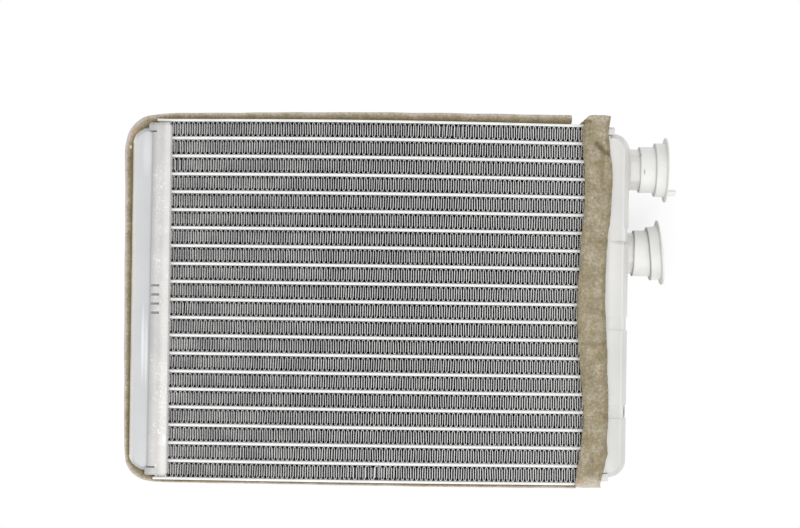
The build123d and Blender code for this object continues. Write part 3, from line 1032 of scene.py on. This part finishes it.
# each station: the inner point and the outer point, each along x and y
stations = [
    (foam_high.x, plate_top + play, foam_high.x, foam_high.y),
    (core_x, plate_top + play, core_x, foam_high.y - 0.6 * mm),
    (plate_left + 8 * mm, plate_top + play, plate_left + 8 * mm, foam_high.y - 1.5 * mm),
    (plate_left + 1.0 * mm, plate_top - play, plate_left + 1.8 * mm, foam_high.y - 1.8 * mm),
    (plate_left - 0.2 * mm, tray_high.y - 0.2 * mm, plate_left - 2 * mm, foam_high.y - 2.2 * mm),
    (tray_low.x + 1.2 * mm, tray_high.y - 0.9 * mm, tray_low.x - 1.9 * mm, foam_high.y - 3.0 * mm),
    (pan_low.x + 3.2 * mm, pan_high.y - 2.2 * mm, pan_low.x + 1.2 * mm, foam_high.y - 5.8 * mm),
    (pan_low.x + 1.1 * mm, pan_high.y - 5.0 * mm, pan_low.x - 1.8 * mm, foam_high.y - 9.8 * mm),
    (pan_side, pan_high.y - 9 * mm, foam_low.x, foam_high.y - 16.5 * mm),
    (pan_side, core_y, foam_low.x + 0.6 * mm, core_y),
    (pan_side, pan_low.y + 9 * mm, pan_low.x - 1.8 * mm, foam_low.y + 13.5 * mm),
    (pan_low.x + 1.1 * mm, pan_low.y + 5.0 * mm, pan_low.x - 1.1 * mm, foam_low.y + 7.2 * mm),
    (pan_low.x + 3.2 * mm, pan_low.y + 2.2 * mm, pan_low.x + 1.7 * mm, foam_low.y + 3.0 * mm),
    (tray_low.x + 1.2 * mm, tray_low.y + 0.7 * mm, tray_low.x - 0.8 * mm, foam_low.y + 0.4 * mm),
    (plate_left - 0.2 * mm, tray_low.y + 0.2 * mm, plate_left - 1 * mm, foam_low.y - 0.2 * mm),
    (plate_left + 1.0 * mm, plate_bottom + play, plate_left + 1.5 * mm, foam_low.y - 0.3 * mm),
    (plate_left + 8 * mm, plate_bottom + play, plate_left + 8 * mm, foam_low.y - 0.5 * mm),
    (band_low.x + 1 * mm, plate_bottom + play, band_low.x + 1 * mm, foam_low.y - 0.7 * mm),
]

# %% Extrude the ribbon from station to station
ribbon = bmesh.new()
light_and_tone_layer = ribbon.verts.layers.float.new("light_and_tone")
ends = [ribbon.verts.new((*stations[0][:2], foam_high.z))]
ends.append(ribbon.verts.new((*stations[0][2:], foam_high.z)))
# the outer edge is the lit side and gets full painted light, the inner edge painted shade
ends[1][light_and_tone_layer] = 1.0
leading = ribbon.edges.new(ends)
long_edges = []
for inner_x, inner_y, outer_x, outer_y in stations[1:]:
    made = bmesh.ops.extrude_edge_only(ribbon, edges=[leading])["geom"]
    inner, outer = sorted(verts_of(made), key=lambda vert: vert[light_and_tone_layer])
    for vert, x, y in ((inner, inner_x, inner_y), (outer, outer_x, outer_y)):
        vert.co = (x, y, foam_high.z)
    leading = [item for item in made if isinstance(item, bmesh.types.BMEdge)
               and inner in item.verts and outer in item.verts][0]
    pair = [edge for vert in (inner, outer) for edge in vert.link_edges if edge != leading]
    long_edges.append(pair)
for pair in long_edges:
    cuts = int(pair[0].calc_length() / (4 * mm))
    if cuts:
        bmesh.ops.subdivide_edges(ribbon, edges=pair, cuts=cuts, use_grid_fill=True)
print("faces in the ribbon:", len(ribbon.faces))

# %% Run the ribbon back to the floor and give it its unevenness
run = bmesh.ops.extrude_face_region(ribbon, geom=ribbon.faces[:], use_keep_orig=True)["geom"]
bmesh.ops.translate(ribbon, verts=verts_of(run), vec=(0, 0, foam_low.z - foam_high.z))
inner_cuts = [6 * mm, 13 * mm, 20 * mm, 27 * mm]
cut_across(ribbon, along_z, [soft_edge, *inner_cuts, foam_high.z - soft_edge])
cut_across(ribbon, along_x, [foam_high.x - soft_edge, band_low.x - 0.5 * mm])
bmesh.ops.recalc_face_normals(ribbon, faces=ribbon.faces)
for vert in ribbon.verts:
    x, y, z = vert.co
    vert.co.y += bulge(x, core_y + math.copysign(stack_half, y - core_y))
    if vert[light_and_tone_layer] > 0.5:
        vert.co += vert.normal * bumpiness(vert.co, strip_bumps)
    if z > foam_high.z - play:
        vert.co.z -= strip_wear * (1 + noise.noise(vert.co * 200))
    # the upper run keeps less of its painted light
    if y > plate_top:
        vert[light_and_tone_layer] *= upper_light_share
strip_foam = put_in_scene("strip_of_foam", ribbon, smooth=True)
softness = strip_foam.modifiers.new("softness", "SUBSURF")
softness.levels = 2
softness.render_levels = 2
hand_over(strip_foam, strip_finish, "foam_strip")
print("faces of the strip before its softness:", len(strip_foam.data.polygons))

# %% [markdown]
# ## Floor
# The core lies on a plain white sweep. To the camera and in reflections the sweep is simply
# white. Only under the core and beside the connectors does it keep its own shade, so that the
# gaps between the fins look dark and a soft shadow shows.

# %% Floor
floor_edit = bmesh.new()
bmesh.ops.create_grid(floor_edit, x_segments=1, y_segments=1, size=2.0)
floor = put_in_scene("floor", floor_edit)
sweep, tree, shader = new_material("white_sweep")
set_up(tree, shader, Base_Color=paint(240, 242, 246), Roughness=0.9, Specular_IOR_Level=0.0)
glow = add_node(tree, "Emission", Strength=1.0)
path = add_node(tree, "LightPath")
axes = place_axes(tree)
direct = calculate(tree, "MAXIMUM", path.outputs["Is Camera Ray"], path.outputs["Is Glossy Ray"])
direct = calculate(tree, "MAXIMUM", direct, path.outputs["Is Transmission Ray"])
core_middle = (core_x / mm, core_y / mm)
core_patch = patch(tree, axes, core_middle, half=(98, stack_half / mm + 1.5), soft=2)
under_core = remap(tree, core_patch, 0.0, 1.0, 1.0, 0.0)
connector_patch = patch(tree, axes, centre=(105, 32), half=(3, 4), soft=18)
shadow_share = 0.76
by_connectors = remap(tree, connector_patch, 0.0, 1.0, 1.0, shadow_share)
shown = calculate(tree, "MULTIPLY", direct, calculate(tree, "MINIMUM", under_core, by_connectors))
mix = add_node(tree, "MixShader")
tree.links.new(shown, mix.inputs[0])
tree.links.new(shader.outputs[0], mix.inputs[1])
tree.links.new(glow.outputs[0], mix.inputs[2])
tree.links.new(mix.outputs[0], tree.nodes["Material Output"].inputs["Surface"])
floor.data.materials.append(sweep)
print("nodes of the floor's material:", len(tree.nodes))

# %% [markdown]
# ## Light
# A product table has a bright soft sky over it and darker sides, and its main lamp stands on one
# side. That is what draws the dark lines on rounded edges. The sky here is bright at the top and
# darker towards the horizon, and a little brighter on the left and on the lamp's side. One soft
# lamp adds the direction.

# %% World
horizon_sky, top_sky = 0.57, 1.02
# how much the sky gains on the left and on the lamp's side, and loses on the other ones
side_lights = (("X", 0.12), ("Y", 0.03))
world = bpy.data.worlds.new("studio")
world.use_nodes = True
tree = world.node_tree
background = tree.nodes["Background"]
way = place_axes(tree, "Generated")
sky = remap(tree, way["Z"], 0.0, 0.9, horizon_sky, top_sky)
for axis, strength in side_lights:
    sky = calculate(tree, "ADD", sky, remap(tree, way[axis], -1, 1, strength, -strength))
path = add_node(tree, "LightPath")
sky = calculate(tree, "MAXIMUM", sky, path.outputs["Is Camera Ray"])
set_up(tree, background, Color=(1, 1, 1, 1), Strength=sky)
scene.world = world
print("nodes of the sky:", len(tree.nodes))

# %% Soft lamp
lamp = bpy.data.lights.new("softbox", "AREA")
lamp.energy = 2.0
lamp.size = 0.7
softbox = bpy.data.objects.new("softbox", lamp)
softbox.location = (0.05, -0.75, 0.85)
softbox.rotation_euler = softbox.location.to_track_quat("Z", "Y").to_euler()
scene.collection.objects.link(softbox)
print("lamp's distance from the middle m:", round(softbox.location.length, 2))

# %% [markdown]
# ## Camera
# The picture was taken from straight above, about nine tenths of a metre over the core, with the
# camera a little to the right of and above its middle, and turned by under a degree.

# %% Camera
camera_height = 0.932
camera_aside, camera_above = 9.0 * mm, 16.72 * mm
camera_turn = math.radians(0.82)
camera_data = bpy.data.cameras.new("camera")
camera_data.lens = 93.1
camera_data.sensor_width = 36.0
camera = bpy.data.objects.new("camera", camera_data)
camera.location = (core_x + camera_aside, core_y + camera_above, camera_height)
camera.rotation_euler = (0, 0, camera_turn)
scene.collection.objects.link(camera)
scene.camera = camera
scene.view_settings.view_transform = "Standard"
print("camera's height m:", camera.location.z)
